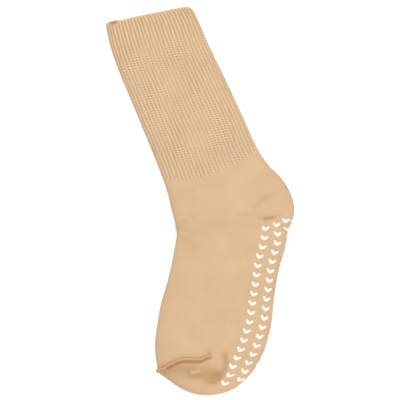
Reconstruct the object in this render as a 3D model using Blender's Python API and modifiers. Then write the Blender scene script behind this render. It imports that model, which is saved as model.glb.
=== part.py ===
"""Slipper sock: a knitted tube with a turned heel and a closed toe, lying empty on its side.

Rows of V-shaped grips are fused to the sole, and a raised seam closes the toe.
Metres, +Z up. +X runs from the cuff towards the toe, +Y from the instep to the heel.
The origin is on the floor under the middle of the sock.
"""

import math
from collections import namedtuple

import bmesh
import bpy
import numpy as np
from mathutils import Vector

# Sizes of the sock as it lies, in metres and degrees
LEG_LENGTH = 0.2318  # from the corner of the ankle to the middle of the rim
FOOT_LENGTH = 0.185  # from the corner of the ankle to the tip of the toe
LEG_WIDTH = 0.100
BALL_WIDTH = 0.117
LOFT = 0.0165  # height of the empty leg off the floor
LEG_LEAN = 10.1  # leg's line, from +X
BEND = 33.4  # from the leg's line to the foot's
ANKLE_ROUND = 0.0225  # how much of each line the bend rounds off

# Shape of a section: a crown over the top, a flat strip underneath and a fold at each side
FOLD_HEIGHT = 0.42  # share of the loft
FLAT_SHARE = 0.70  # share of the width that lies flat
CROWN = 2.4  # power of the crown's curve

# Thickness of the knit
RIB_WALL = 0.0022
PLAIN_WALL = 0.0016

# Grips: V shapes in rows along the sole, each pointing at the toe
GRIP_WIDTH = 0.0090
GRIP_DEPTH = 0.0068
GRIP_ARM = 0.0030
GRIP_HEIGHT = 0.0008
GRIP_ROOT = 0.0006  # how deep a grip is keyed into the knit
GRIP_PITCH = 0.00985
GRIP_ROWS = 5
GRIP_ROW_SPACING = 0.0148
GRIP_REACH = 0.0273  # first row's reach from the sole's fold, over the top
HEEL_ROUND = 0.0034  # how much sooner each row starts than its outer neighbour
TREAD_EASE = 0.016  # width over which the sole comes down to the floor
TREAD_CLEARANCE = 0.00005

# Toe seam: a round cord that lies on the knit
SEAM_THICKNESS = 0.0022
SEAM_GAP = 0.0003

# Fineness of the solids
RINGS_PER_SECTION = 2
RING_POINTS = 32
SEAM_POINTS = 44
REACH_STEPS = 24
TREAD_STEPS = 70
NEAR = 1e-4

# Sections from the rim to the tip of the toe.
# along: -1 to 0 down the leg, 0 to 1 round the ankle, 1 to 2 down the foot
# slant: degrees that the section is turned from square
# front, back: reach of the instep fold and of the heel or sole fold, as shares of the width
# loft: height of the section, and spring: rise of its underside, as shares of LOFT
# lifted: share of the toe seam's stand under the sock; tread: share of the grips' stand
# rib: 1 in ribbed knit, 0 in plain knit
Section = namedtuple("Section", "along slant front back loft spring lifted tread rib")
SECTIONS = (
    Section(-1.000, -11.9, 0.412, 0.455, 0.800, 0.000, 0.0, 0.0, 1.0),
    Section(-0.982, -11.2, 0.427, 0.481, 0.870, 0.000, 0.0, 0.0, 1.0),
    Section(-0.961, -10.5, 0.437, 0.490, 0.920, 0.000, 0.0, 0.0, 1.0),
    Section(-0.874, -7.0, 0.466, 0.489, 1.000, 0.000, 0.0, 0.0, 1.0),
    Section(-0.740, -3.5, 0.480, 0.484, 1.000, 0.000, 0.0, 0.0, 1.0),
    Section(-0.540, 0.0, 0.486, 0.500, 1.000, 0.000, 0.0, 0.0, 1.0),
    Section(-0.340, 0.0, 0.496, 0.510, 1.000, 0.000, 0.0, 0.0, 1.0),
    Section(-0.182, 0.0, 0.512, 0.513, 1.020, 0.000, 0.0, 0.0, 1.0),
    Section(-0.075, 0.0, 0.549, 0.551, 1.100, 0.000, 0.0, 0.0, 0.0),
    Section(0.000, 0.0, 0.571, 0.612, 1.200, 0.000, 0.0, 0.2, 0.0),
    Section(0.250, 0.0, 0.552, 0.633, 1.300, 0.000, 0.0, 0.6, 0.0),
    Section(0.500, 0.0, 0.530, 0.608, 1.300, 0.000, 0.0, 1.0, 0.0),
    Section(0.740, 0.0, 0.503, 0.520, 1.240, 0.000, 0.0, 1.0, 0.0),
    Section(1.000, 0.0, 0.477, 0.486, 1.160, 0.000, 0.0, 1.0, 0.0),
    Section(1.140, 0.0, 0.477, 0.466, 1.100, 0.000, 0.0, 1.0, 0.0),
    Section(1.300, 0.0, 0.486, 0.466, 1.060, 0.000, 0.0, 1.0, 0.0),
    Section(1.480, 0.0, 0.512, 0.481, 1.040, 0.000, 0.0, 1.0, 0.0),
    Section(1.630, 0.0, 0.512, 0.466, 1.040, 0.000, 0.4, 0.8, 0.0),
    Section(1.730, 0.0, 0.503, 0.430, 1.040, 0.000, 1.0, 0.2, 0.0),
    Section(1.810, 0.0, 0.478, 0.382, 1.000, 0.000, 1.0, 0.0, 0.0),
    Section(1.870, 0.0, 0.450, 0.325, 0.985, 0.000, 1.0, 0.0, 0.0),
    Section(1.908, 0.0, 0.431, 0.283, 0.960, 0.008, 1.0, 0.0, 0.0),
    Section(1.938, 0.0, 0.347, 0.236, 0.930, 0.024, 1.0, 0.0, 0.0),
    Section(1.968, 0.0, 0.257, 0.158, 0.855, 0.055, 1.0, 0.0, 0.0),
    Section(1.988, 0.0, 0.168, 0.072, 0.630, 0.142, 1.0, 0.0, 0.0),
    Section(1.997, 0.0, 0.106, 0.000, 0.355, 0.260, 1.0, 0.0, 0.0),
    Section(2.000, 0.0, 0.075, -0.030, 0.142, 0.347, 1.0, 0.0, 0.0),
)

# The rows of grips on their way along the sole, from their start to their end.
# along: as above; first: the first row's reach as a share of GRIP_REACH
# apart: from each row to the next, as a share of GRIP_ROW_SPACING
Tread = namedtuple("Tread", "along first apart")
TREADS = (
    Tread(0.54, 1.117, 0.628),
    Tread(0.88, 0.996, 0.986),
    Tread(1.05, 1.000, 0.966),
    Tread(1.27, 0.908, 0.959),
    Tread(1.42, 0.938, 1.000),
    Tread(1.60, 1.000, 1.000),
    Tread(1.76, 0.982, 0.932),
    Tread(1.84, 0.791, 0.905),
    Tread(1.925, 0.630, 0.878),
)

# The toe seam's way over the visible half: turns from the sole's fold, and along as above.
# It starts at the side of the foot and reaches the instep's fold; the under half mirrors it.
SEAM_WAY = (
    (0.236, 1.738),
    (0.241, 1.762),
    (0.260, 1.776),
    (0.290, 1.783),
    (0.323, 1.787),
    (0.345, 1.806),
    (0.385, 1.846),
    (0.425, 1.880),
    (0.500, 1.906),
)

TREAD_STAND = GRIP_HEIGHT + TREAD_CLEARANCE
SEAM_STAND = SEAM_THICKNESS + SEAM_GAP


def heading(degrees):
    return Vector((math.cos(math.radians(degrees)), math.sin(math.radians(degrees)), 0.0))


def spine(along):
    """Place and direction of the sock's middle line, with the ankle's corner at the origin."""
    up_leg = -heading(LEG_LEAN)
    down_foot = heading(LEG_LEAN - BEND)
    turned = min(max(along, 0.0), 1.0)
    leg = ANKLE_ROUND * (1 - turned) ** 2 + max(-along, 0.0) * (LEG_LENGTH - ANKLE_ROUND)
    foot = ANKLE_ROUND * turned**2 + max(along - 1, 0.0) * (FOOT_LENGTH - ANKLE_ROUND)
    return up_leg * leg + down_foot * foot, LEG_LEAN - BEND * turned


def placed(section):
    """A section's row in metres and degrees: x, y, direction, reaches, loft, rise, tread, rib."""
    centre, direction = spine(section.along)
    turned = min(max(section.along, 0.0), 1.0)
    width = LEG_WIDTH + (BALL_WIDTH - LEG_WIDTH) * turned
    return np.array((
        centre.x,
        centre.y,
        direction + section.slant,
        section.front * width,
        section.back * width,
        section.loft * LOFT,
        section.spring * LOFT + section.lifted * SEAM_STAND,
        section.tread * TREAD_STAND,
        section.rib,
    ))


ROWS = [placed(section) for section in SECTIONS]
LAST = len(ROWS) - 1


def between_rows(place):
    """The sections' values at a place between them, on a curve that runs through every section."""
    first = int(min(max(math.floor(place), 0), LAST - 1))
    t = place - first
    start, end = ROWS[first], ROWS[first + 1]
    leaving = (end - ROWS[max(first - 1, 0)]) / 2
    arriving = (ROWS[min(first + 2, LAST)] - start) / 2
    return (
        start * (1 + 2 * t) * (1 - t) ** 2
        + leaving * t * (1 - t) ** 2
        + end * t**2 * (3 - 2 * t)
        + arriving * t**2 * (t - 1)
    )


def place_of(along):
    return float(np.interp(along, [s.along for s in SECTIONS], range(len(SECTIONS))))


def eased(share):
    share = min(max(share, 0.0), 1.0)
    return share * share * (3 - 2 * share)


def on_skin(place, around):
    """Point of the outer face: around is in turns, from the sole's fold over the top."""
    x, y, direction, front, back, loft, rise, tread, _ = between_rows(place)
    side = math.cos(math.tau * around)
    across = (back - front) / 2 + side * (front + back) / 2
    fold = loft * FOLD_HEIGHT
    if math.sin(math.tau * around) >= 0:
        height = fold + (loft - fold) * (1 - abs(side) ** CROWN) ** (1 / CROWN)
    else:
        rolled = max((abs(side) - FLAT_SHARE) / (1 - FLAT_SHARE), 0.0)
        height = fold * (1 - math.sqrt(max(1 - rolled**2, 0.0)))
    covered = (GRIP_ROWS - 0.5) * GRIP_ROW_SPACING - GRIP_REACH
    height += rise + tread * eased(1 + (covered - (back - across)) / TREAD_EASE)
    square = heading(direction + 90)
    return Vector((x, y, height)) + square * across


def skin(place, around, lift):
    """Point that stands off the outer face by lift."""
    along = on_skin(place + NEAR, around) - on_skin(place - NEAR, around)
    across = on_skin(place, around + NEAR) - on_skin(place, around - NEAR)
    return on_skin(place, around) + across.cross(along).normalized() * lift


def lengths_of(points):
    """Length of the way to each point of a line."""
    steps = [(b - a).length for a, b in zip(points, points[1:])]
    return np.concatenate(([0.0], np.cumsum(steps)))


def around_at(place, reach):
    """Turns at which the skin lies this far from the sole's fold: over the top, or under if negative."""
    side = math.copysign(0.25, reach)
    turns = [side * step / REACH_STEPS for step in range(REACH_STEPS + 1)]
    lengths = lengths_of([on_skin(place, turn) for turn in turns])
    return float(np.interp(abs(reach), lengths, turns))


def new_material(name, colour, roughness):
    material = bpy.data.materials.new(name)
    material.use_nodes = True
    surface = material.node_tree.nodes["Principled BSDF"]
    surface.inputs["Base Color"].default_value = (*colour, 1.0)
    surface.inputs["Roughness"].default_value = roughness
    surface.inputs["Metallic"].default_value = 0.0
    return material


def new_object(name, data, collection, parent):
    thing = bpy.data.objects.new(name, data)
    collection.objects.link(thing)
    thing.parent = parent
    return thing


def knitted_body(collection, parent):
    """The knit as one piece: an open loft through the sections, closed at the toe, with a wall."""
    shape = bmesh.new()
    places = [step / RINGS_PER_SECTION for step in range(LAST * RINGS_PER_SECTION + 1)]
    rings = [
        [shape.verts.new(on_skin(place, point / RING_POINTS)) for point in range(RING_POINTS)]
        for place in places
    ]
    for near, far in zip(rings, rings[1:]):
        for i in range(RING_POINTS):
            j = (i + 1) % RING_POINTS
            shape.faces.new((near[j], far[j], far[i], near[i]))
    shape.faces.new(rings[-1])
    bmesh.ops.recalc_face_normals(shape, faces=shape.faces)
    mesh = bpy.data.meshes.new("knitted_body")
    shape.to_mesh(mesh)
    shape.free()
    mesh.shade_smooth()
    mesh.materials.append(new_material("beige_knit", (0.74, 0.52, 0.33), 0.95))

    body = new_object("knitted_body", mesh, collection, parent)
    wall = body.vertex_groups.new(name="wall")
    for ring, place in enumerate(places):
        rib = between_rows(place)[-1]
        thickness = PLAIN_WALL + (RIB_WALL - PLAIN_WALL) * rib
        points = range(ring * RING_POINTS, (ring + 1) * RING_POINTS)
        wall.add(list(points), thickness / max(RIB_WALL, PLAIN_WALL), "REPLACE")
    knit = body.modifiers.new("knit wall", "SOLIDIFY")
    knit.thickness = max(RIB_WALL, PLAIN_WALL)
    knit.offset = -1.0
    knit.use_even_offset = True
    knit.vertex_group = wall.name
    return body


def flat_grip():
    """One V before it is laid on the sole: x towards the toe, y across the row, z off the skin."""
    shape = bmesh.new()
    heel_side = (
        (-GRIP_DEPTH / 2, -GRIP_WIDTH / 2),
        (GRIP_DEPTH / 2 - GRIP_ARM, 0.0),
        (-GRIP_DEPTH / 2, GRIP_WIDTH / 2),
    )
    inner = [shape.verts.new((x, y, -GRIP_ROOT)) for x, y in heel_side]
    outer = [shape.verts.new((x + GRIP_ARM, y, -GRIP_ROOT)) for x, y in heel_side]
    arms = [shape.faces.new((inner[i], outer[i], outer[i + 1], inner[i + 1])) for i in (0, 1)]
    grown = bmesh.ops.extrude_face_region(shape, geom=arms)
    top = [part for part in grown["geom"] if isinstance(part, bmesh.types.BMVert)]
    bmesh.ops.translate(shape, vec=(0.0, 0.0, GRIP_ROOT + GRIP_HEIGHT), verts=top)
    bmesh.ops.recalc_face_normals(shape, faces=shape.faces)
    mesh = bpy.data.meshes.new("flat_grip")
    shape.to_mesh(mesh)
    shape.free()
    return mesh


def row_reach(row, place):
    """A row's reach from the sole's fold, eased from each line of the table to the next."""
    starts = [place_of(tread.along) for tread in TREADS]
    number = int(np.clip(np.searchsorted(starts, place) - 1, 0, len(TREADS) - 2))
    near, far = TREADS[number], TREADS[number + 1]
    share = eased((place - starts[number]) / (starts[number + 1] - starts[number]))
    first = GRIP_REACH * (near.first + (far.first - near.first) * share)
    apart = GRIP_ROW_SPACING * (near.apart + (far.apart - near.apart) * share)
    return first - row * apart


def grips(collection, parent):
    """All the grips, each bent to the skin, in rows along the sole."""
    pattern = flat_grip()
    shape = bmesh.new()
    places = np.linspace(place_of(TREADS[0].along), place_of(TREADS[-1].along), TREAD_STEPS)
    for row in range(GRIP_ROWS):
        line = [on_skin(place, around_at(place, row_reach(row, place))) for place in places]
        lengths = lengths_of(line)
        start = GRIP_DEPTH / 2 + HEEL_ROUND * abs(row - (GRIP_ROWS - 1) / 2)
        room = lengths[-1] - start - GRIP_DEPTH / 2
        for number in range(int(room / GRIP_PITCH) + 1):
            first = len(shape.verts)
            shape.from_mesh(pattern)
            shape.verts.ensure_lookup_table()
            for vert in shape.verts[first:]:
                far = start + number * GRIP_PITCH + vert.co.x
                place = float(np.interp(far, lengths, places))
                around = around_at(place, row_reach(row, place) + vert.co.y)
                vert.co = skin(place, around, vert.co.z)
    bmesh.ops.recalc_face_normals(shape, faces=shape.faces)
    bpy.data.meshes.remove(pattern)
    mesh = bpy.data.meshes.new("grips")
    shape.to_mesh(mesh)
    shape.free()
    mesh.materials.append(new_material("white_grip", (0.90, 0.87, 0.82), 0.55))
    joined = new_object("grips", mesh, collection, parent)
    joined.hide_render = True
    joined.display_type = "WIRE"
    return joined


def toe_seam(collection, parent):
    """The cord of the closing seam, from one side of the foot over the instep to the other."""
    over = [(turns, place_of(along)) for turns, along in SEAM_WAY]
    under = [(1 - turns, place) for turns, place in reversed(over[:-1])]
    turns, places = zip(*(over + under))
    line = bpy.data.curves.new("toe_seam", "CURVE")
    line.dimensions = "3D"
    line.bevel_depth = SEAM_THICKNESS / 2
    line.bevel_resolution = 2
    line.use_fill_caps = True
    line.materials.append(new_material("linked_seam", (0.72, 0.47, 0.30), 0.9))
    spline = line.splines.new("POLY")
    spline.points.add(SEAM_POINTS - 1)
    for number, point in enumerate(spline.points):
        around = turns[0] + (turns[-1] - turns[0]) * number / (SEAM_POINTS - 1)
        place = float(np.interp(around, turns, places))
        at = skin(place, around, SEAM_THICKNESS / 2 + SEAM_GAP)
        point.co = (*at, 1.0)
    return new_object("toe_seam", line, collection, parent)


def stand_on_origin(parent, things):
    """Moves the sock so that its middle is over the origin and its lowest point is on the floor."""
    bpy.context.view_layer.update()
    graph = bpy.context.evaluated_depsgraph_get()
    points = []
    for thing in things:
        shown = thing.evaluated_get(graph)
        points += [shown.matrix_world @ vert.co for vert in shown.to_mesh().vertices]
        shown.to_mesh_clear()
    low = [min(point[i] for point in points) for i in range(3)]
    high = [max(point[i] for point in points) for i in range(3)]
    parent.location = (-(low[0] + high[0]) / 2, -(low[1] + high[1]) / 2, -low[2])


for old in list(bpy.data.objects):
    bpy.data.objects.remove(old, do_unlink=True)

sock = bpy.data.collections.new("slipper_sock")
joiners = bpy.data.collections.new("joined_in")
bpy.context.scene.collection.children.link(sock)
bpy.context.scene.collection.children.link(joiners)

root = new_object("sock_origin", None, sock, None)
body = knitted_body(sock, root)
fused = body.modifiers.new("grips", "BOOLEAN")
fused.operation = "UNION"
fused.object = grips(joiners, root)
seam = toe_seam(sock, root)
stand_on_origin(root, (body, seam))
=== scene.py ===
"""Slipper sock: how a ribbed sock with printed grips looks as it lies empty on its side.

Metres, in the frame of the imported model: +X runs from the cuff towards the toe, +Y from the
instep to the heel, and the floor is at z = 0. The sock is dressed in the order it is made.
"""

import math
from collections import namedtuple

import bpy
import numpy as np
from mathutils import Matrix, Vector


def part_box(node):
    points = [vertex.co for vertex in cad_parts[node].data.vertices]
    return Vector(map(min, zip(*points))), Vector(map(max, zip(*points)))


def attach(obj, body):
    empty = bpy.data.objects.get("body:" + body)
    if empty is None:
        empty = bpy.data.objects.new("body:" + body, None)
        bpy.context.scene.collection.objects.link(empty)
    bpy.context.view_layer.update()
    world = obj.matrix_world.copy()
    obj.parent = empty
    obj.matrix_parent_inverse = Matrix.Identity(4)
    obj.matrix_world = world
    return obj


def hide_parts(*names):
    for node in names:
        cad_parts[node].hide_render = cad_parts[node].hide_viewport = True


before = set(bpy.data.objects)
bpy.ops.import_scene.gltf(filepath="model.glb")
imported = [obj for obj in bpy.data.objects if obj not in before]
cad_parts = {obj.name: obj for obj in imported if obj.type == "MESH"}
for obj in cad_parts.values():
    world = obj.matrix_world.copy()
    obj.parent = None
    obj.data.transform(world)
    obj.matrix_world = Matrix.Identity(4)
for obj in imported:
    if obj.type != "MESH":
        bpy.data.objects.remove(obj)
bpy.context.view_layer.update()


# The knitted tube
# One seamless tube of cotton yarn with an elastic thread, from a small round knitting machine:
# a ribbed leg, then a plain foot with a heel pocket. Empty, it lies flat with a little air in it.

MM = 0.001
LEG_LENGTH = 0.2318  # from the corner of the ankle to the middle of the rim
FOOT_LENGTH = 0.185  # from the corner of the ankle to the tip of the toe
LEG_WIDTH = 0.100
BALL_WIDTH = 0.117
LOFT = 0.0165  # height of the empty leg off the floor
LEG_LEAN = 10.1  # leg's line, from +X, in degrees
BEND = 33.4  # how far the foot turns from the leg, in degrees
ANKLE_ROUND = 0.0225  # from the corner of the ankle to where its curve begins
FOLD_HEIGHT = 0.42  # height of the side folds, as a share of the loft
FLAT_SHARE = 0.70  # share of the width that lies flat on the floor
CROWN = 2.4  # 2 is an ellipse over the top, and more is boxier
RIB_WALL = 0.0022
PLAIN_WALL = 0.0016
GRIP_STAND = 0.00085  # how far the grips lift the sole's edge off the floor
SEAM_STAND = 0.0025  # how far the toe stands off the floor, on its seam
SOLE_UNDER = 0.0393  # how far the rows of grips reach round under the sock
TREAD_EASE = 0.016  # width on which that lift dies out
TURN = 2 * math.pi

# The sections are the solid's own. along: -1 to 0 down the leg, 0 to 1 round the ankle, 1 to 2
# down the foot. slant is in degrees, front and back are shares of the width, loft and spring of
# LOFT, lifted of SEAM_STAND and tread of GRIP_STAND.
Section = namedtuple("Section", "along slant front back loft spring lifted tread")
SECTIONS = (
    Section(-1.000, -11.9, 0.412, 0.455, 0.800, 0.000, 0.0, 0.0),
    Section(-0.982, -11.2, 0.427, 0.481, 0.870, 0.000, 0.0, 0.0),
    Section(-0.961, -10.5, 0.437, 0.490, 0.920, 0.000, 0.0, 0.0),
    Section(-0.874, -7.0, 0.466, 0.489, 1.000, 0.000, 0.0, 0.0),
    Section(-0.740, -3.5, 0.480, 0.484, 1.000, 0.000, 0.0, 0.0),
    Section(-0.540, 0.0, 0.486, 0.500, 1.000, 0.000, 0.0, 0.0),
    Section(-0.340, 0.0, 0.496, 0.510, 1.000, 0.000, 0.0, 0.0),
    Section(-0.182, 0.0, 0.512, 0.513, 1.020, 0.000, 0.0, 0.0),
    Section(-0.075, 0.0, 0.549, 0.551, 1.100, 0.000, 0.0, 0.0),
    Section(0.000, 0.0, 0.571, 0.612, 1.200, 0.000, 0.0, 0.2),
    Section(0.250, 0.0, 0.552, 0.633, 1.300, 0.000, 0.0, 0.6),
    Section(0.500, 0.0, 0.530, 0.608, 1.300, 0.000, 0.0, 1.0),
    Section(0.740, 0.0, 0.503, 0.520, 1.240, 0.000, 0.0, 1.0),
    Section(1.000, 0.0, 0.477, 0.486, 1.160, 0.000, 0.0, 1.0),
    Section(1.140, 0.0, 0.477, 0.466, 1.100, 0.000, 0.0, 1.0),
    Section(1.300, 0.0, 0.486, 0.466, 1.060, 0.000, 0.0, 1.0),
    Section(1.480, 0.0, 0.512, 0.481, 1.040, 0.000, 0.0, 1.0),
    Section(1.630, 0.0, 0.512, 0.466, 1.040, 0.000, 0.4, 0.8),
    Section(1.730, 0.0, 0.503, 0.430, 1.040, 0.000, 1.0, 0.2),
    Section(1.810, 0.0, 0.478, 0.382, 1.000, 0.000, 1.0, 0.0),
    Section(1.870, 0.0, 0.450, 0.325, 0.985, 0.000, 1.0, 0.0),
    Section(1.908, 0.0, 0.431, 0.283, 0.960, 0.008, 1.0, 0.0),
    Section(1.938, 0.0, 0.347, 0.236, 0.930, 0.024, 1.0, 0.0),
    Section(1.968, 0.0, 0.257, 0.158, 0.855, 0.055, 1.0, 0.0),
    Section(1.988, 0.0, 0.168, 0.072, 0.630, 0.142, 1.0, 0.0),
    Section(1.997, 0.0, 0.106, 0.000, 0.355, 0.260, 1.0, 0.0),
    Section(2.000, 0.0, 0.075, -0.030, 0.142, 0.347, 1.0, 0.0),
)

# Creases and swells of the upper side, in millimetres. A way is the points of one's middle from
# the corner of the ankle, x towards the toe and y towards the heel. Rise is under 0 in a trough.
Fold = namedtuple("Fold", "way width rise")
FOLDS = (
    # Soft crease over the heel, deeper in its middle, and the sharper one under the heel's bulge
    Fold(((-6.6, 22.9), (-12.3, 31.7), (-14.5, 40.3), (-15.9, 47.0)), 3.6, -0.8),
    Fold(((-9.6, 27.5), (-12.3, 31.7), (-14.2, 39.0)), 3.2, -0.6),
    Fold(((4.6, 25.8), (6.8, 30.9), (7.8, 36.1), (7.4, 40.9), (6.4, 46.5)), 2.2, -0.9),
    Fold(((6.9, 31.0), (7.9, 36.1), (7.8, 39.5)), 2.1, -1.2),
    Fold(((-4.3, 4.7), (-0.1, 23.0)), 1.5, -0.5),  # faint line beside the heel
    Fold(((-4.5, 33.7), (-3.6, 42.0)), 7.0, 2.0),  # the heel's bulge
    # At the notch of the instep the knit is filled out, with a slack place towards the toe.
    Fold(((-2.9, -57.6), (-4.8, -16.5)), 7.5, 0.9),
    Fold(((-2.4, -59.9), (7.9, -28.1)), 5.0, 1.2),
    Fold(((8.4, -55.0), (16.7, -47.4)), 8.0, -0.7),
    # The knit is drawn in beside the toe seam.
    Fold(
        (
            (133.0, -103.1), (131.5, -98.5), (130.3, -91.8), (130.3, -84.3),
            (133.2, -74.3), (134.3, -68.1), (133.2, -62.5), (132.9, -57.6),
        ),
        1.5,
        -2.0,
    ),
    # Hollow of the toe pocket, its deep end, and the small pinch and crescent in its middle
    Fold(
        ((136.3, -106.0), (137.2, -93.4), (141.1, -81.5), (146.3, -68.9), (151.5, -58.3)), 7.5, -2.2
    ),
    Fold(((154.1, -67.5), (153.5, -56.7)), 4.5, -1.4),
    Fold(((143.9, -81.1), (143.8, -72.5)), 1.9, 2.4),
    Fold(((145.8, -84.2), (149.1, -78.1), (149.0, -71.7)), 1.8, -1.0),
    # End of the pocket beside the sole, the ridge inside it, and the full rim of the toe
    Fold(
        ((133.3, -42.7), (142.8, -43.4), (150.2, -47.9), (155.7, -54.0), (157.8, -60.9)), 3.2, -2.0
    ),
    Fold(((128.6, -49.1), (143.2, -50.5)), 3.2, 1.3),
    Fold(((154.9, -99.8), (164.6, -81.8), (169.2, -64.7), (166.0, -49.0)), 4.0, 1.0),
)
DEEP_FOLD = 2.5 * MM  # a trough this deep is wholly out of the light


def heading(degrees):
    return np.array((math.cos(math.radians(degrees)), math.sin(math.radians(degrees))))


def placed(section):
    """A section in metres and radians: x, y, direction, reaches, loft, rise of its underside, tread."""
    turned = min(max(section.along, 0.0), 1.0)
    width = LEG_WIDTH + (BALL_WIDTH - LEG_WIDTH) * turned
    leg = ANKLE_ROUND * (1 - turned) ** 2 + max(-section.along, 0.0) * (LEG_LENGTH - ANKLE_ROUND)
    foot = ANKLE_ROUND * turned**2 + max(section.along - 1, 0.0) * (FOOT_LENGTH - ANKLE_ROUND)
    middle = heading(LEG_LEAN - BEND) * foot - heading(LEG_LEAN) * leg
    return (
        *middle,
        math.radians(LEG_LEAN - BEND * turned + section.slant),
        section.front * width,
        section.back * width,
        section.loft * LOFT,
        section.spring * LOFT + section.lifted * SEAM_STAND,
        section.tread * GRIP_STAND,
    )


ROWS = np.array([placed(section) for section in SECTIONS])
LAST = len(ROWS) - 1


def rows_at(place):
    """The sections' values at places between them, on a curve that runs through every section."""
    first = np.clip(np.floor(place).astype(int), 0, LAST - 1)
    t = (place - first)[..., None]
    start, end = ROWS[first], ROWS[first + 1]
    leaving = (end - ROWS[np.maximum(first - 1, 0)]) / 2
    arriving = (ROWS[np.minimum(first + 2, LAST)] - start) / 2
    return (
        start * (1 + 2 * t) * (1 - t) ** 2
        + leaving * t * (1 - t) ** 2
        + end * t**2 * (3 - 2 * t)
        + arriving * t**2 * (t - 1)
    )


def place_of(along):
    return np.interp(along, [section.along for section in SECTIONS], range(len(SECTIONS)))


def eased(share):
    share = np.clip(share, 0.0, 1.0)
    return share * share * (3 - 2 * share)


def on_form(place, around, inset=0.0):
    """Points of the smooth tube; around is in turns, from the sole's fold over the top."""
    place, around = np.broadcast_arrays(np.asarray(place, float), np.asarray(around, float))
    x, y, direction, front, back, loft, rise, tread = np.moveaxis(rows_at(place), -1, 0)
    side = np.cos(TURN * around)
    front, back, loft = front - inset, back - inset, loft - 2 * inset
    across = (back - front) / 2 + side * (front + back) / 2
    fold = loft * FOLD_HEIGHT
    crown = fold + (loft - fold) * (1 - np.abs(side) ** CROWN) ** (1 / CROWN)
    rolled = np.clip((np.abs(side) - FLAT_SHARE) / (1 - FLAT_SHARE), 0.0, 1.0)
    belly = fold * (1 - np.sqrt(1 - rolled**2))
    height = np.where(np.sin(TURN * around) >= 0, crown, belly) + inset + rise
    height = height + tread * eased(1 + (SOLE_UNDER - (back - across)) / TREAD_EASE)
    points = np.stack((x - np.sin(direction) * across, y + np.cos(direction) * across, height), -1)
    return points + ANKLE


# The ankle's corner is found by setting the sections' box over the solid's. It lies a little off the
# floor, by as much as the ribs stand out.
ANKLE = np.array((0.0, 0.0, 0.2 * MM))
low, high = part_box("knitted_body")
outline = on_form(np.arange(LAST + 1.0)[:, None], np.arange(32)[None] / 32).reshape(-1, 3)
ANKLE[:2] = ((np.array(low) + high - outline.min(0) - outline.max(0)) / 2)[:2]


def normals_of(place, around):
    step = 1e-4
    along = on_form(place + step, around) - on_form(place - step, around)
    across = on_form(place, around + step) - on_form(place, around - step)
    normal = np.cross(across, along)
    return normal / np.maximum(np.linalg.norm(normal, axis=-1, keepdims=True), 1e-12)


def folds_at(points, normals):
    """How far the folds lift or sink the upper side at these points."""
    flat = (points - ANKLE)[..., :2] / MM
    rise = np.zeros(flat.shape[:-1])
    for fold in FOLDS:
        nearest = np.full(flat.shape[:-1], np.inf)
        for start, end in zip(np.array(fold.way), np.array(fold.way)[1:]):
            way = end - start
            share = np.clip((flat - start) @ way / (way @ way), 0.0, 1.0)
            away = np.linalg.norm(flat - start - share[..., None] * way, axis=-1)
            nearest = np.minimum(nearest, away)
        rise += fold.rise * np.exp(-((nearest / fold.width) ** 2))
    return rise * MM * eased(normals[..., 2] * 2)


def skin(place, around, lift=0.0):
    """Points that stand off the worn outer face by lift."""
    points, normals = on_form(place, around), normals_of(place, around)
    return points + normals * (folds_at(points, normals) + lift)[..., None]


def sunk_at(place, around):
    """1 at the bottom of a deep fold, where the knit is hidden from the light, and 0 off the folds."""
    sinking = -folds_at(on_form(place, around), normals_of(place, around))
    return np.clip(sinking / DEEP_FOLD, 0.0, 1.0)


# The ribs: 56 round the leg, each ending at its own height above the ankle. The real rows of
# stitches, the courses, are about 0.7 mm apart, too fine for the picture, so they are drawn coarser.
RIBS = 56
RIB_DEPTH = 0.65 * MM
RIB_PROUD = 0.25  # share of the depth that the ridges stand out, with the grooves sunk by the rest
GROOVE_SHARPNESS = 1.6
WALES = 168  # columns of stitches round the tube, one to each needle of the machine
COURSE = 1.25 * MM
RIB_ENDS = (  # turns round the leg, and how far from the corner of the ankle a rib ends, in mm
    (0.0, 57.0), (0.10, 51.0), (0.25, 50.0), (0.38, 56.0), (0.50, 64.0), (0.75, 52.0), (1.0, 57.0),
)
RIB_JITTER = 1.6  # how far one rib's end lies from its neighbours', mm
RIB_FADE = 3.5  # mm
RIM_BAND = 2.6  # plain band at the rim, mm
RIM_FADE = 3.0  # how far down the rim's own reach dies out, mm
SLACK_SHARE = 0.45  # how much flatter the ribs lie in their slack patches
SLACK_ROUND = 4  # patches round the leg
SLACK_START = 60.0  # how far below the rim the patches are fully slack, mm
WALL_CHANGE = 1 / 8  # share of the leg on which the wall thickens above the ankle

# The ribs don't run quite straight: each wave moves them by far turns, with so many waves round
# the leg and down it.
Wave = namedtuple("Wave", "far round down start")
WANDERS = (
    Wave(0.0016, 0, 0.045, 1.0),
    Wave(0.0008, 0, 0.11, 0.0),
    Wave(0.0009, 19, 0.16, 0.0),
    Wave(0.0009, 27, -0.23, 1.0),
)

# Points round each ring, and rings on each stretch of the tube; the plain knit has fewer points.
RIB_COLUMNS = RIBS * 8
PLAIN_COLUMNS = RIB_COLUMNS // 2
INNER_COLUMNS = RIBS * 2
RIM_START = -0.9945
CUFF_END = -0.10
TIP_START = 1.908
Rings = namedtuple("Rings", "start end count")
INNER_RINGS = (Rings(1.985, 1.0, 40), Rings(0.95, -0.99, 60))
LEG_RINGS = Rings(RIM_START, CUFF_END, 80)
FOOT_RINGS = (
    Rings(CUFF_END, 0.0, 12), Rings(0.0, 1.0, 59), Rings(1.0, 1.70, 67), Rings(1.70, TIP_START, 56),
)
TIP_RINGS = 26
ROLL_ANGLES = (160, 130, 100, 70, 45, 20)  # degrees round the rolled edge
OUTLINE_POINTS = 181


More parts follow.
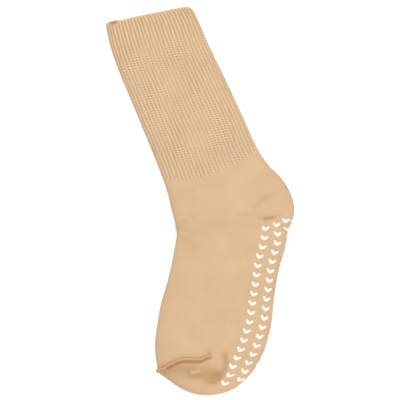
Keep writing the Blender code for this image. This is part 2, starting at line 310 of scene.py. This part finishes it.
def lengths_of(lines):
    """Length of the way to each point of a line, or of several lines at once."""
    steps = np.linalg.norm(np.diff(lines, axis=-2), axis=-1)
    return np.concatenate((np.zeros((*steps.shape[:-1], 1)), np.cumsum(steps, axis=-1)), axis=-1)


def turns_for(place, shares):
    """Turns at which the outline at one place is cut into these shares of its length."""
    around = np.linspace(0.0, 1.0, OUTLINE_POINTS)
    length = lengths_of(on_form(place, around))
    return np.interp(shares, length / length[-1], around)


def rib_strength(phase, leg_mm, rim_mm):
    """1 on full ribs, 0 in the plain band at the rim and under each rib's own end."""
    number = np.floor(phase)
    strength = 0.0
    for rib, weight in ((number, 1 - (phase - number)), (number + 1, phase - number)):
        ends = np.interp((rib / RIBS) % 1.0, *np.array(RIB_ENDS).T)
        ends = ends + RIB_JITTER * np.sin(rib * 2.4) + RIB_JITTER * 0.7 * np.sin(rib * 5.1)
        strength = strength + weight * eased((leg_mm - ends) / RIB_FADE)
    return strength * eased(rim_mm / RIM_BAND)


def ring_faces(near, far):
    """Faces between two rings of points; the far ring may have as many points or a part of them."""
    several = len(near) // len(far)
    faces = []
    for i, point in enumerate(far):
        side = [near[(i * several + k) % len(near)] for k in range(several + 1)]
        faces.append([*side[::-1], point, far[(i + 1) % len(far)]])
    return faces


def mesh_object(name, points, faces, materials):
    mesh = bpy.data.meshes.new(name)
    mesh.from_pydata([tuple(map(float, point)) for point in points], [], faces)
    mesh.validate()
    mesh.shade_smooth()
    for material in materials:
        mesh.materials.append(material)
    piece = bpy.data.objects.new(name, mesh)
    bpy.context.scene.collection.objects.link(piece)
    return piece


def keep_values(piece, name, values):
    """Stores one number for each point, which the material reads by name."""
    stored = piece.data.attributes.new(name, "FLOAT", "POINT")
    stored.data.foreach_set("value", np.ascontiguousarray(values, np.float32))


def knitted_tube():
    """The outer face with its ribs, the rolled rim and the inner face, as one closed skin."""
    rings, points, wales, courses, ribs, grooves, sunk = [], [], [], [], [], [], []

    def add_ring(ring, wale, course, rib, groove, fold=0.0):
        rings.append(list(range(len(points), len(points) + len(ring))))
        points.extend(ring)
        wales.extend(wale)
        courses.extend(np.broadcast_to(course, len(ring)))
        ribs.extend(np.broadcast_to(rib, len(ring)))
        grooves.extend(np.broadcast_to(groove, len(ring)))
        sunk.extend(np.broadcast_to(fold, len(ring)))

    outward = np.array((-math.cos(ROWS[0][2]), -math.sin(ROWS[0][2]), 0.0))

    # The inner face, from the toe to the rim
    inner_along = np.concatenate([np.linspace(*stretch) for stretch in INNER_RINGS])
    shares = np.arange(INNER_COLUMNS) / INNER_COLUMNS
    for along, place in zip(inner_along, place_of(inner_along)):
        around = turns_for(place, shares)
        wall = PLAIN_WALL + (RIB_WALL - PLAIN_WALL) * eased(-along / WALL_CHANGE)
        at = np.full(INNER_COLUMNS, place)
        ring = on_form(at, around, wall)
        ring = ring + normals_of(at, around) * folds_at(ring, normals_of(at, around))[..., None]
        rim_mm = (1 + along) * (LEG_LENGTH - ANKLE_ROUND) / MM
        ring = ring + outward * (past_rim(shares) * math.exp(-rim_mm / RIM_FADE))[:, None]
        add_ring(ring, shares * WALES, 0.0, 0.0, 0.0)
    inner_rings = len(rings)

    # The outer face of the leg, from the rim down; the first rings roll over the edge.
    leg_along = np.linspace(*LEG_RINGS)
    shares = np.arange(RIB_COLUMNS) / RIB_COLUMNS
    roll = RIB_WALL / 2
    first_place = place_of(leg_along[0])
    around = turns_for(first_place, shares)
    at = np.full(len(shares), first_place)
    edge, normal = on_form(at, around), normals_of(at, around)
    longer = past_rim(shares)
    for angle in np.radians(ROLL_ANGLES):
        ring = edge - normal * roll * (1 - math.cos(angle)) + outward * roll * math.sin(angle)
        ring = ring + outward * longer[:, None]
        add_ring(ring, shares * WALES, -math.sin(angle), 0.0, 0.0)
    leg_distance = ANKLE_ROUND - leg_along * (LEG_LENGTH - ANKLE_ROUND)
    rim_distance = LEG_LENGTH - leg_distance
    for place, leg_mm, rim_mm in zip(place_of(leg_along), leg_distance / MM, rim_distance / MM):
        wander = sum(
            wave.far * np.sin(TURN * shares * wave.round + leg_mm * wave.down + wave.start)
            for wave in WANDERS
        )
        around = turns_for(place, np.append(shares, 1.0))
        around = np.interp(shares + wander, np.append(shares, 1.0), around)
        phase = shares * RIBS
        slack = np.sin(TURN * shares * SLACK_ROUND + leg_mm * 0.05) * np.sin(leg_mm * 0.06 - 1.0)
        slack = (0.5 + 0.5 * slack) * eased(rim_mm / SLACK_START)
        strength = rib_strength(phase, leg_mm, rim_mm) * (1 - SLACK_SHARE * slack)
        groove = np.abs(np.sin(np.pi * phase)) ** GROOVE_SHARPNESS
        at = np.full(len(shares), place)
        ring = skin(at, around, RIB_DEPTH * strength * (RIB_PROUD - groove))
        ring = ring + outward * (longer * np.exp(-rim_mm / RIM_FADE))[:, None]
        fold = sunk_at(at, around)
        add_ring(ring, shares * WALES, rim_mm * MM / COURSE, strength, groove * strength, fold)
    course = rim_distance[-1] / COURSE

    # The outer face of the ankle, foot and toe
    foot_along = np.concatenate([np.linspace(*stretch)[1:] for stretch in FOOT_RINGS])
    tip = np.linspace(place_of(TIP_START), LAST, TIP_RINGS)[1:]
    places = np.concatenate((place_of(foot_along), tip))
    shares = np.arange(PLAIN_COLUMNS) / PLAIN_COLUMNS
    before = on_form(place_of(CUFF_END), 0.25)
    for place in places:
        here = on_form(place, 0.25)
        course += np.linalg.norm(here - before) / COURSE
        before = here
        around = turns_for(place, shares)
        at = np.full(PLAIN_COLUMNS, place)
        add_ring(skin(at, around), shares * WALES, course, 0.0, 0.0, sunk_at(at, around))

    faces = [rings[0][::-1], rings[-1]]
    for near, far in zip(rings, rings[1:]):
        if len(near) >= len(far):
            faces += ring_faces(near, far)
        else:
            faces += [face[::-1] for face in ring_faces(far, near)]
    inner_points = rings[inner_rings][0]
    piece = mesh_object("knit", points, faces, [cotton_knit, knit_back])
    inside = [int(min(polygon.vertices) < inner_points) for polygon in piece.data.polygons]
    piece.data.polygons.foreach_set("material_index", inside)
    keep_values(piece, "wale", wales)
    keep_values(piece, "course", courses)
    keep_values(piece, "rib", ribs)
    keep_values(piece, "groove", grooves)
    keep_values(piece, "sunk", sunk)
    return piece


# At the instep's end of the rim the upper layer is pulled back, so that the under one shows past
# it. at and width are in turns, and far, past the rim's line, in millimetres.
Reach = namedtuple("Reach", "at width far")
RIM_REACHES = (Reach(0.446, 0.036, -1.9), Reach(0.555, 0.050, 2.0))


def past_rim(turns):
    return sum(
        reach.far * MM * np.exp(-(((turns - reach.at) / reach.width) ** 2)) for reach in RIM_REACHES
    )


def linear(hex_colour):
    """A colour written in sRGB hex, as the linear numbers that a shader takes."""
    values = [int(hex_colour[i : i + 2], 16) / 255 for i in (1, 3, 5)]
    values = [v / 12.92 if v <= 0.04045 else ((v + 0.055) / 1.055) ** 2.4 for v in values]
    return (*values, 1.0)


def add_node(material, kind, inputs=None, **settings):
    """A node with its settings; an input takes a value, or another node's output."""
    node = material.node_tree.nodes.new(kind)
    for name, value in settings.items():
        setattr(node, name, value)
    for name, value in (inputs or {}).items():
        if isinstance(value, bpy.types.Node):
            value = value.outputs[0]
        if isinstance(value, bpy.types.NodeSocket):
            material.node_tree.links.new(value, node.inputs[name])
        else:
            node.inputs[name].default_value = value
    return node


def new_material(name):
    material = bpy.data.materials.new(name)
    material.use_nodes = True
    material.node_tree.nodes.clear()
    return material


def finish_material(material, surface):
    add_node(material, "ShaderNodeOutputMaterial", {"Surface": surface.outputs[0]})


# Combed cotton, knitted as jersey and rib: matt and warm beige with a trace of fibre sheen. Its
# ridges take a painted highlight, and the grooves and creases a browner painted shade.
PLAIN_BEIGE = "#BEA07E"
# painted highlight: the ribbed leg is painted lighter, as its ridges would catch the light
RIDGE_PAINTED_HIGHLIGHT = "#CAAF8F"
# painted shade in the rib grooves, partly also the knit's darker deeper layer showing there
GROOVE_PAINTED_SHADE = "#A98865"
# painted shade: the colour at the bottom of deep folds, where the knit is out of the light
FOLD_PAINTED_SHADE = "#AA855E"
RIM_BEIGE = "#C9B49A"  # the turned edge, where the knit is double
STITCH_LIGHT = "#D6C0A2"
STITCH_SHADE = "#92724F"
STITCH_LEAN = 1.1  # courses that a stitch's leg climbs for each wale
DOT_BEND_SIZE = 16.667 * MM  # how often the lines of dots bend
DOT_BEND = 9.0  # how far they bend, in radians of the dots' wave
DOT_SLANT = 2.2  # the same from one groove to the next
DOT_STAGGER = 1.9  # and at random
PATCH_SIZE = 18.182 * MM
OFF_PATCH = 0.15  # strength of the dots between the patches
DOTS_BEGIN, DOTS_FULL = 14.0, 34.0  # courses below the rim
MOTTLE_SIZE = 22.222 * MM
FOLD_SHADE_SHARE = 0.85  # share of the painted fold shade's colour that the deepest fold takes
DOT_RELIEF = 3.0  # height of a dot against that of a stitch

cotton_knit = new_material("combed_cotton_knit")
wale = add_node(cotton_knit, "ShaderNodeAttribute", attribute_name="wale").outputs["Fac"]
course = add_node(cotton_knit, "ShaderNodeAttribute", attribute_name="course").outputs["Fac"]
rib = add_node(cotton_knit, "ShaderNodeAttribute", attribute_name="rib").outputs["Fac"]
groove = add_node(cotton_knit, "ShaderNodeAttribute", attribute_name="groove").outputs["Fac"]
sunk = add_node(cotton_knit, "ShaderNodeAttribute", attribute_name="sunk").outputs["Fac"]
place_in_space = add_node(cotton_knit, "ShaderNodeTexCoord").outputs["Object"]

# Each plain stitch is a V: two legs that lean together, one above the next.
in_wale = add_node(cotton_knit, "ShaderNodeMath", {0: wale}, operation="FRACT")
off_middle = add_node(cotton_knit, "ShaderNodeMath", {0: in_wale, 1: 0.5}, operation="SUBTRACT")
off_middle = add_node(cotton_knit, "ShaderNodeMath", {0: off_middle}, operation="ABSOLUTE")
leaning = add_node(
    cotton_knit,
    "ShaderNodeMath",
    {0: off_middle, 1: STITCH_LEAN, 2: course},
    operation="MULTIPLY_ADD",
)
stitch = add_node(cotton_knit, "ShaderNodeMath", {0: leaning, 1: TURN}, operation="MULTIPLY")
stitch = add_node(cotton_knit, "ShaderNodeMath", {0: stitch}, operation="COSINE")

# Between the ribs the loops show as small light dots, one to each two courses. They lie in
# slanting lines that bend, in patches, and not near the rim.
bend = add_node(
    cotton_knit,
    "ShaderNodeTexNoise",
    {"Vector": place_in_space, "Scale": 1 / DOT_BEND_SIZE, "Detail": 2.0},
)
bend = add_node(cotton_knit, "ShaderNodeMath", {0: bend, 1: DOT_BEND}, operation="MULTIPLY")
dots = add_node(
    cotton_knit, "ShaderNodeMath", {0: course, 1: TURN / 2, 2: bend}, operation="MULTIPLY_ADD"
)
groove_number = add_node(
    cotton_knit, "ShaderNodeMath", {0: wale, 1: WALES / RIBS}, operation="DIVIDE"
)
groove_number = add_node(cotton_knit, "ShaderNodeMath", {0: groove_number}, operation="FLOOR")
stagger = add_node(
    cotton_knit, "ShaderNodeTexWhiteNoise", {"W": groove_number}, noise_dimensions="1D"
)
for turned, amount in ((groove_number, DOT_SLANT), (stagger, DOT_STAGGER)):
    dots = add_node(
        cotton_knit, "ShaderNodeMath", {0: turned, 1: amount, 2: dots}, operation="MULTIPLY_ADD"
    )
dots = add_node(cotton_knit, "ShaderNodeMath", {0: dots}, operation="SINE")
patches = add_node(
    cotton_knit,
    "ShaderNodeTexNoise",
    {"Vector": place_in_space, "Scale": 1 / PATCH_SIZE, "Detail": 2.0},
)
patches = add_node(
    cotton_knit, "ShaderNodeMapRange", {0: patches, 1: 0.40, 2: 0.60, 3: OFF_PATCH, 4: 1.0}
)
below_rim = add_node(
    cotton_knit, "ShaderNodeMapRange", {0: course, 1: DOTS_BEGIN, 2: DOTS_FULL}
)
dotted = add_node(
    cotton_knit, "ShaderNodeMath", {0: groove, 1: 0.7, 2: 0.3}, operation="MULTIPLY_ADD"
)
for share in (rib, patches, below_rim):
    dotted = add_node(cotton_knit, "ShaderNodeMath", {0: dotted, 1: share}, operation="MULTIPLY")
light_dots = add_node(cotton_knit, "ShaderNodeMapRange", {0: dots, 1: 0.1, 2: 0.9})
dark_dots = add_node(cotton_knit, "ShaderNodeMapRange", {0: dots, 1: -0.1, 2: -0.9, 3: 0.0, 4: 0.8})
light_dots, dark_dots = (
    add_node(cotton_knit, "ShaderNodeMath", {0: some, 1: dotted}, operation="MULTIPLY")
    for some in (light_dots, dark_dots)
)

# From the plain knit the colour goes to the ridges' painted highlight, then to the grooves' painted
# shade, the dots, the folds' painted shade and the pale rim.
# painted shade in the folds, full where a fold is deepest
painted_fold_shade = add_node(cotton_knit, "ShaderNodeMath", {0: sunk, 1: FOLD_SHADE_SHARE}, operation="MULTIPLY")
at_rim = add_node(cotton_knit, "ShaderNodeMapRange", {0: course, 1: 0.6, 2: 1.8, 3: 0.8, 4: 0.0})
knit_colour = linear(PLAIN_BEIGE)
for share, shade in (
    (rib, RIDGE_PAINTED_HIGHLIGHT),
    (groove, GROOVE_PAINTED_SHADE),
    (light_dots, STITCH_LIGHT),
    (dark_dots, STITCH_SHADE),
    (painted_fold_shade, FOLD_PAINTED_SHADE),
    (at_rim, RIM_BEIGE),
):
    knit_colour = add_node(
        cotton_knit, "ShaderNodeMix", {0: share, 6: knit_colour, 7: linear(shade)}, data_type="RGBA"
    ).outputs[2]

# Uneven dye: soft blotches, a few hundredths lighter or darker
mottle = add_node(
    cotton_knit,
    "ShaderNodeTexNoise",
    {"Vector": place_in_space, "Scale": 1 / MOTTLE_SIZE, "Detail": 5.0},
)
mottle = add_node(cotton_knit, "ShaderNodeMapRange", {0: mottle, 1: 0.3, 2: 0.7, 3: 0.955, 4: 1.03})
knit_colour = add_node(
    cotton_knit,
    "ShaderNodeVectorMath",
    {0: knit_colour, "Scale": mottle.outputs[0]},
    operation="SCALE",
)
height = add_node(
    cotton_knit, "ShaderNodeMath", {0: light_dots, 1: DOT_RELIEF, 2: stitch}, operation="MULTIPLY_ADD"
)
relief = add_node(
    cotton_knit, "ShaderNodeBump", {"Height": height, "Distance": 0.1 * MM, "Strength": 0.6}
)
cotton = add_node(
    cotton_knit,
    "ShaderNodeBsdfPrincipled",
    {
        "Base Color": knit_colour,
        "Roughness": 0.92,
        "Specular IOR Level": 0.15,
        "Sheen Weight": 0.12,
        "Sheen Roughness": 0.5,
        "Normal": relief.outputs[0],
    },
)
finish_material(cotton_knit, cotton)

# The back of the same knit, seen in the cuff: matt loops instead of Vs, a shade darker. Real
# loops are about 0.7 mm across, too fine for the picture, so they are drawn coarser.
BACK_BEIGE = "#AC8B68"
LOOP_SIZE = 1.923 * MM
knit_back = new_material("cotton_knit_back")
back_place = add_node(knit_back, "ShaderNodeTexCoord").outputs["Object"]
back_loops = add_node(
    knit_back, "ShaderNodeTexVoronoi", {"Vector": back_place, "Scale": 1 / LOOP_SIZE}, feature="F1"
)
# between the loops the colour goes to the grooves' painted shade
back_colour = add_node(
    knit_back,
    "ShaderNodeMix",
    {0: back_loops.outputs["Distance"], 6: linear(BACK_BEIGE), 7: linear(GROOVE_PAINTED_SHADE)},
    data_type="RGBA",
).outputs[2]
back_relief = add_node(
    knit_back,
    "ShaderNodeBump",
    {"Height": back_loops.outputs["Distance"], "Distance": 0.4 * MM, "Strength": 0.7},
    invert=True,
)
back_cotton = add_node(
    knit_back,
    "ShaderNodeBsdfPrincipled",
    {
        "Base Color": back_colour,
        "Roughness": 0.95,
        "Specular IOR Level": 0.1,
        "Normal": back_relief.outputs[0],
    },
)
finish_material(knit_back, back_cotton)

knit = knitted_tube()
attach(knit, "root")
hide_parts("knitted_body")


# The toe seam
# The knitted end of the toe is closed by linking it loop by loop, which leaves a thin raised
# cord of yarn from one side of the foot over the instep to the other.

SEAM_WAY = (  # turns from the sole's fold over the top, and along the foot
    (0.241, 1.730),
    (0.250, 1.746),
    (0.263, 1.767),
    (0.283, 1.776),
    (0.304, 1.780),
    (0.323, 1.787),
    (0.342, 1.806),
    (0.364, 1.826),
    (0.407, 1.869),
    (0.500, 1.906),
)
SEAM_EAR = (0.242, 1.705)  # where the yarn's end stands up past the seam's own end
SEAM_STEPS = 300
SEAM_SIDES = 12
SEAM_TWIST = 2.4 * MM  # length of one turn of the yarn
SEAM_RADIUS = 1.35 * MM
SEAM_LIFT = 0.75 * MM
SEAM_RIDGES = 0.13  # how far the twist stands out, as a share of the radius
SEAM_END = 0.35  # thickness of the two ends, as a share
SEAM_POINT = 3.0 * MM  # length on which each end tapers
SEAM_EASE = 11  # steps over which the way's corners are rounded


def toe_seam():
    over = [(turns, float(place_of(along))) for turns, along in (SEAM_EAR, *SEAM_WAY)]
    under = [(1 - turns, place) for turns, place in reversed(over[1:-1])]
    way = np.array(over + under)
    lengths = lengths_of(on_form(way[:, 1], way[:, 0]))
    far = np.linspace(0.0, lengths[-1], SEAM_STEPS)
    evenly = [np.pad(np.interp(far, lengths, row), SEAM_EASE // 2, mode="edge") for row in way.T]
    around, smooth = (
        np.convolve(row, np.ones(SEAM_EASE) / SEAM_EASE, mode="valid") for row in evenly
    )
    path = skin(smooth, around, SEAM_LIFT)
    normal = normals_of(smooth, around)
    ahead = np.gradient(path, axis=0)
    length = lengths_of(path)
    ahead /= np.linalg.norm(ahead, axis=1, keepdims=True)
    side = np.cross(ahead, normal)
    side /= np.linalg.norm(side, axis=1, keepdims=True)
    up = np.cross(side, ahead)
    taper = np.minimum(1.0, SEAM_END + np.minimum(length, length[-1] - length) / SEAM_POINT)
    points, rings = [], []
    for i in range(SEAM_STEPS):
        angle = np.arange(SEAM_SIDES) * TURN / SEAM_SIDES
        twist = np.cos(2 * angle - TURN * length[i] / SEAM_TWIST)
        radius = SEAM_RADIUS * taper[i] * (1 + SEAM_RIDGES * twist)
        ring = path[i] + (
            np.outer(np.cos(angle) * radius, side[i]) + np.outer(np.sin(angle) * radius, up[i])
        )
        rings.append(list(range(len(points), len(points) + SEAM_SIDES)))
        points.extend(ring)
    faces = [rings[0], rings[-1][::-1]]
    for near, far in zip(rings, rings[1:]):
        faces += ring_faces(near, far)
    return mesh_object("linked_toe_seam", points, faces, [seam_yarn])


# Plied cotton yarn, linked: matt, with a redder tan than the knit, and shaded between its plies.
# The real fibres are far finer than the picture shows, so they are drawn coarser.
SEAM_TAN = "#C9A07C"
SEAM_SHADE = "#AE8058"
FIBRE_SIZE = 1.111 * MM
seam_yarn = new_material("linked_cotton_yarn")
seam_place = add_node(seam_yarn, "ShaderNodeTexCoord").outputs["Object"]
seam_fibre = add_node(
    seam_yarn, "ShaderNodeTexNoise", {"Vector": seam_place, "Scale": 1 / FIBRE_SIZE, "Detail": 3.0}
)
seam_colour = add_node(
    seam_yarn,
    "ShaderNodeMix",
    {0: seam_fibre.outputs[0], 6: linear(SEAM_SHADE), 7: linear(SEAM_TAN)},
    data_type="RGBA",
).outputs[2]
seam_relief = add_node(
    seam_yarn,
    "ShaderNodeBump",
    {"Height": seam_fibre.outputs[0], "Distance": 0.2 * MM, "Strength": 0.5},
)
seam_cotton = add_node(
    seam_yarn,
    "ShaderNodeBsdfPrincipled",
    {
        "Base Color": seam_colour,
        "Roughness": 0.9,
        "Specular IOR Level": 0.15,
        "Normal": seam_relief.outputs[0],
    },
)
finish_material(seam_yarn, seam_cotton)

seam = toe_seam()
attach(seam, "root")
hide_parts("toe_seam")


# The grips
# Small Vs of white rubbery paste, pressed through a stencil onto the sole in five rows and
# cured there. Each is a low rounded drop that grips the yarn under it, with its point to the toe.

GRIP_WIDTH = 9.8 * MM
GRIP_DEPTH = 7.6 * MM
GRIP_ARM = 3.5 * MM
GRIP_HEIGHT = 1.0 * MM
GRIP_ROOT = 0.3 * MM  # how far the paste soaks into the knit
GRIP_TURN = 5.0  # degrees: each V leans a little towards the fold
GRIP_POINT = 0.02  # roundness of the V's point
GRIP_TAPER = 0.18  # how much thinner an arm is at its end
GRIP_PITCH = 9.85 * MM
GRIP_ROWS = 5
GRIP_ROW_SPACING = 14.8 * MM
GRIP_REACH = 27.3 * MM  # first row's reach from the sole's fold, over the top
HEEL_ROUND = 3.4 * MM  # how much sooner each row starts than its outer neighbour
ARM_STEPS = 14
DOME_STEPS = 8
ROW_STEPS = 90
QUARTER_STEPS = 40

# The rows on their way along the sole. first: the first row's reach as a share of GRIP_REACH, and
# apart: from each row to the next, as a share of GRIP_ROW_SPACING
Tread = namedtuple("Tread", "along first apart")
TREADS = (
    Tread(0.54, 1.117, 0.628),
    Tread(0.88, 0.996, 0.986),
    Tread(1.05, 1.000, 0.966),
    Tread(1.27, 0.908, 0.959),
    Tread(1.42, 0.938, 1.000),
    Tread(1.60, 1.000, 1.000),
    Tread(1.76, 0.982, 0.932),
    Tread(1.84, 0.791, 0.905),
    Tread(1.925, 0.630, 0.878),
)


def around_at(place, reach):
    """Turns at which the skin lies this far from the sole's fold: over the top, or under if negative."""
    quarter = np.copysign(0.25, reach)[:, None]
    lengths = lengths_of(on_form(place[:, None], quarter * np.linspace(0.0, 1.0, QUARTER_STEPS + 1)))
    wanted = np.abs(reach)[:, None]
    after = np.clip((lengths < wanted).sum(axis=1, keepdims=True), 1, QUARTER_STEPS)
    near, far = np.take_along_axis(lengths, after - 1, 1), np.take_along_axis(lengths, after, 1)
    share = np.clip((wanted - near) / (far - near), 0.0, 1.0)
    return (quarter * (after - 1 + share) / QUARTER_STEPS)[:, 0]


def flat_grip():
    """One V laid flat: points with x towards the toe, y across the row and z off the skin."""
    points, rings = [], []
    for t in np.linspace(-1.0, 1.0, ARM_STEPS + 1):
        bent = math.sqrt(t * t + GRIP_POINT) - math.sqrt(GRIP_POINT)
        slope = t / math.sqrt(t * t + GRIP_POINT)
        back, aside = GRIP_DEPTH - GRIP_ARM, (GRIP_WIDTH - GRIP_ARM / 2) / 2
        middle = np.array(((GRIP_DEPTH - GRIP_ARM) / 2 - bent * back, t * aside))
        ahead = np.array((-slope * back, aside))
        ahead /= np.linalg.norm(ahead)
        across = np.array((ahead[1], -ahead[0]))
        # The arms thin out and are rounded off at their ends, where the drop is lower too.
        half = GRIP_ARM / 2 * (1 - GRIP_TAPER * abs(t)) * math.sqrt(max(1 - abs(t) ** 9, 0.02))
        ring = []
        for k in range(DOME_STEPS + 1):
            angle = math.pi * k / DOME_STEPS
            spot = middle + across * half * math.cos(angle)
            rise = GRIP_HEIGHT * math.sin(angle) ** 0.6 * min(1.0, half / (GRIP_ARM * 0.25))
            ring.append((*spot, rise if 0 < k < DOME_STEPS else -GRIP_ROOT))
        rings.append(list(range(len(points), len(points) + len(ring))))
        points += ring
    faces = [rings[0], rings[-1][::-1]]
    for near, far in zip(rings, rings[1:]):
        faces += ring_faces(near, far)
    points = np.array(points)
    turned = np.array((heading(GRIP_TURN), heading(GRIP_TURN + 90)))
    points[:, :2] = points[:, :2] @ turned
    return points, faces


def row_reach(row, place):
    """A row's reach from the sole's fold, eased from each line of the table to the next."""
    starts = place_of([tread.along for tread in TREADS])
    reaches = np.array(
        [tread.first * GRIP_REACH - row * tread.apart * GRIP_ROW_SPACING for tread in TREADS]
    )
    number = np.clip(np.searchsorted(starts, place) - 1, 0, len(TREADS) - 2)
    share = eased((place - starts[number]) / (starts[number + 1] - starts[number]))
    return reaches[number] + (reaches[number + 1] - reaches[number]) * share


def all_grips():
    pattern, pattern_faces = flat_grip()
    points, faces = [], []
    places = np.linspace(place_of(TREADS[0].along), place_of(TREADS[-1].along), ROW_STEPS)
    for row in range(GRIP_ROWS):
        lengths = lengths_of(on_form(places, around_at(places, row_reach(row, places))))
        start = GRIP_DEPTH / 2 + HEEL_ROUND * abs(row - (GRIP_ROWS - 1) / 2)
        room = lengths[-1] - start - GRIP_DEPTH / 2
        for number in range(int(room / GRIP_PITCH) + 1):
            faces += [[len(points) + i for i in face] for face in pattern_faces]
            place = np.interp(start + number * GRIP_PITCH + pattern[:, 0], lengths, places)
            around = around_at(place, row_reach(row, place) + pattern[:, 1])
            points.extend(skin(place, around, pattern[:, 2]))
    return mesh_object("sole_grips", points, faces, [grip_paste])


# Silicone paste, cured in the open: an even warm white, smooth with a low satin sheen. Its pits
# are finer than the picture shows, so they are drawn coarser.
GRIP_WHITE = "#DBD3CC"
PIT_SIZE = 1.429 * MM
grip_paste = new_material("cured_white_grip_paste")
grip_place = add_node(grip_paste, "ShaderNodeTexCoord").outputs["Object"]
grip_grain = add_node(
    grip_paste, "ShaderNodeTexNoise", {"Vector": grip_place, "Scale": 1 / PIT_SIZE, "Detail": 2.0}
)
grip_relief = add_node(
    grip_paste,
    "ShaderNodeBump",
    {"Height": grip_grain.outputs[0], "Distance": 0.15 * MM, "Strength": 0.4},
)
paste = add_node(
    grip_paste,
    "ShaderNodeBsdfPrincipled",
    {
        "Base Color": linear(GRIP_WHITE),
        "Roughness": 0.5,
        "Specular IOR Level": 0.4,
        "Normal": grip_relief.outputs[0],
    },
)
finish_material(grip_paste, paste)

grips = all_grips()
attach(grips, "root")


# The studio
# A white paper floor under a wide soft lamp overhead, with smaller ones low past the cuff and the
# toe to show the ribs and folds, and a camera on a long lens straight above.

UP = (-0.97237, 0.23345)  # up in the picture, on the floor
VIEW_SIZE = 0.416  # width of floor that the picture takes in
LENS = 120.0  # mm
SENSOR = 36.0  # mm
MIDDLE = ANKLE + (-0.02785, -0.02979, 0.008)  # what the middle of the picture shows
FLOOR_SIDE = 6.0
GRAIN_SIZE = 15.0 * MM
DAYLIGHT = 0.34

# White studio paper: matt and even. Its grain is too fine to show, so it is drawn far coarser.
floor_paper = new_material("white_studio_paper")
paper_grain = add_node(
    floor_paper, "ShaderNodeTexNoise", {"Scale": FLOOR_SIDE / GRAIN_SIZE, "Detail": 2.0}
)
paper_relief = add_node(
    floor_paper,
    "ShaderNodeBump",
    {"Height": paper_grain.outputs[0], "Distance": 0.05 * MM, "Strength": 0.2},
)
paper = add_node(
    floor_paper,
    "ShaderNodeBsdfPrincipled",
    {
        "Base Color": linear("#FBFBFB"),
        "Roughness": 0.9,
        "Specular IOR Level": 0.1,
        "Normal": paper_relief.outputs[0],
    },
)
finish_material(floor_paper, paper)
corners = [
    (x * FLOOR_SIDE / 2, y * FLOOR_SIDE / 2, 0.0) for x, y in ((-1, -1), (1, -1), (1, 1), (-1, 1))
]
floor = mesh_object("floor", corners, [[0, 1, 2, 3]], [floor_paper])

world = bpy.data.worlds.new("studio")
bpy.context.scene.world = world
world.use_nodes = True
world.node_tree.nodes["Background"].inputs["Color"].default_value = (1.0, 1.0, 1.0, 1.0)
world.node_tree.nodes["Background"].inputs["Strength"].default_value = DAYLIGHT
bpy.context.scene.view_settings.view_transform = "Standard"


def soft_lamp(name, place, size, power):
    """A square lamp that faces the sock; size in metres and power in watts."""
    lamp = bpy.data.lights.new(name, "AREA")
    lamp.size = size
    lamp.energy = power
    stand = bpy.data.objects.new(name, lamp)
    stand.location = place
    stand.rotation_euler = Vector(place).to_track_quat("Z", "Y").to_euler()
    bpy.context.scene.collection.objects.link(stand)


soft_lamp("ceiling_lamp", (0.0, 0.0, 2.2), 2.0, 48.0)
soft_lamp("key_lamp", (-1.1, 0.1, 0.9), 0.7, 9.2)
soft_lamp("fill_lamp", (1.1, 0.2, 0.4), 0.7, 5.0)

lens = bpy.data.cameras.new("camera")
lens.lens = LENS
lens.sensor_width = SENSOR
camera = bpy.data.objects.new("camera", lens)
camera.location = (MIDDLE[0], MIDDLE[1], MIDDLE[2] + VIEW_SIZE * LENS / SENSOR)
camera.rotation_euler = (0.0, 0.0, math.atan2(-UP[0], UP[1]))
bpy.context.scene.collection.objects.link(camera)
bpy.context.scene.camera = camera
